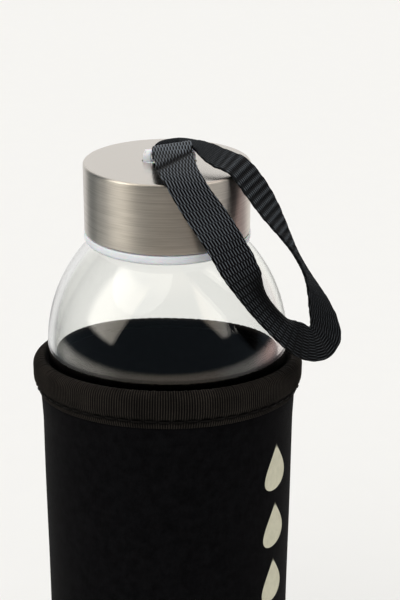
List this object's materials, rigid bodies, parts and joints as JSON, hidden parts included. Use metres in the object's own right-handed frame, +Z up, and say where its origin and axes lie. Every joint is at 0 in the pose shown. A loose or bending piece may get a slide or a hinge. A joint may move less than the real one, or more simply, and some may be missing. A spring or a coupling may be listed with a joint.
{
  "type": "water bottle",
  "caption": "Clear glass drinking bottle with a screw lid in brushed steel, a webbing carry loop on the lid and a dark fabric sleeve with a ribbed bound edge.",
  "frame": {"origin": "on the bottle's axis, at the ground face of the sleeve's base panel", "axes": "+Z up along the bottle's axis, -Y towards the side the picture shows, +X to its right"},
  "size_m": [0.0832, 0.0746, 0.2283],
  "materials": {
    "glass": "clear and polished",
    "steel": "satin, brushed round the side",
    "white_plastic": "satin, slightly translucent",
    "seal": "soft silicone",
    "webbing": "woven nylon",
    "neoprene": "fine knit over foam",
    "binding": "ribbed tape",
    "thread": "sewing thread"
  },
  "bodies": {
    "sleeve": {"sleeve_base": "neoprene", "sleeve_body": "neoprene", "sleeve_binding": "binding", "hem_stitching": "thread", "base_seam_stitching": "thread", "side_seam_stitching": "thread"},
    "bottle": {"glass_bottle": "glass"},
    "seal": {"cap_seal": "seal"},
    "cap": {"cap_shell": "steel", "cap_liner": "white_plastic", "strap_bridge": "white_plastic"},
    "strap": {"carry_strap": "webbing"}
  },
  "joints": [
    {"name": "bottle_lift", "type": "slide", "parent": "sleeve", "child": "bottle", "axis": [0, 0, 1], "range_m": [0, 0.175]},
    {"name": "cap_lift", "type": "slide", "parent": "bottle", "child": "seal", "axis": [0, 0, 1], "range_m": [0, 0.006]},
    {"name": "cap_turn", "type": "hinge", "parent": "seal", "child": "cap", "pos_m": [0, 0, 0.21], "axis": [0, 0, 1], "range_deg": [0, 540]},
    {"name": "strap_swing", "type": "hinge", "parent": "cap", "child": "strap", "pos_m": [0, 0, 0.22415], "axis": [-1, 0, 0], "range_deg": [0, 60]}
  ],
  "couplings": [
    {"joint": "cap_lift", "follows": "cap_turn", "m_per_rad": 0.0006366}
  ]
}
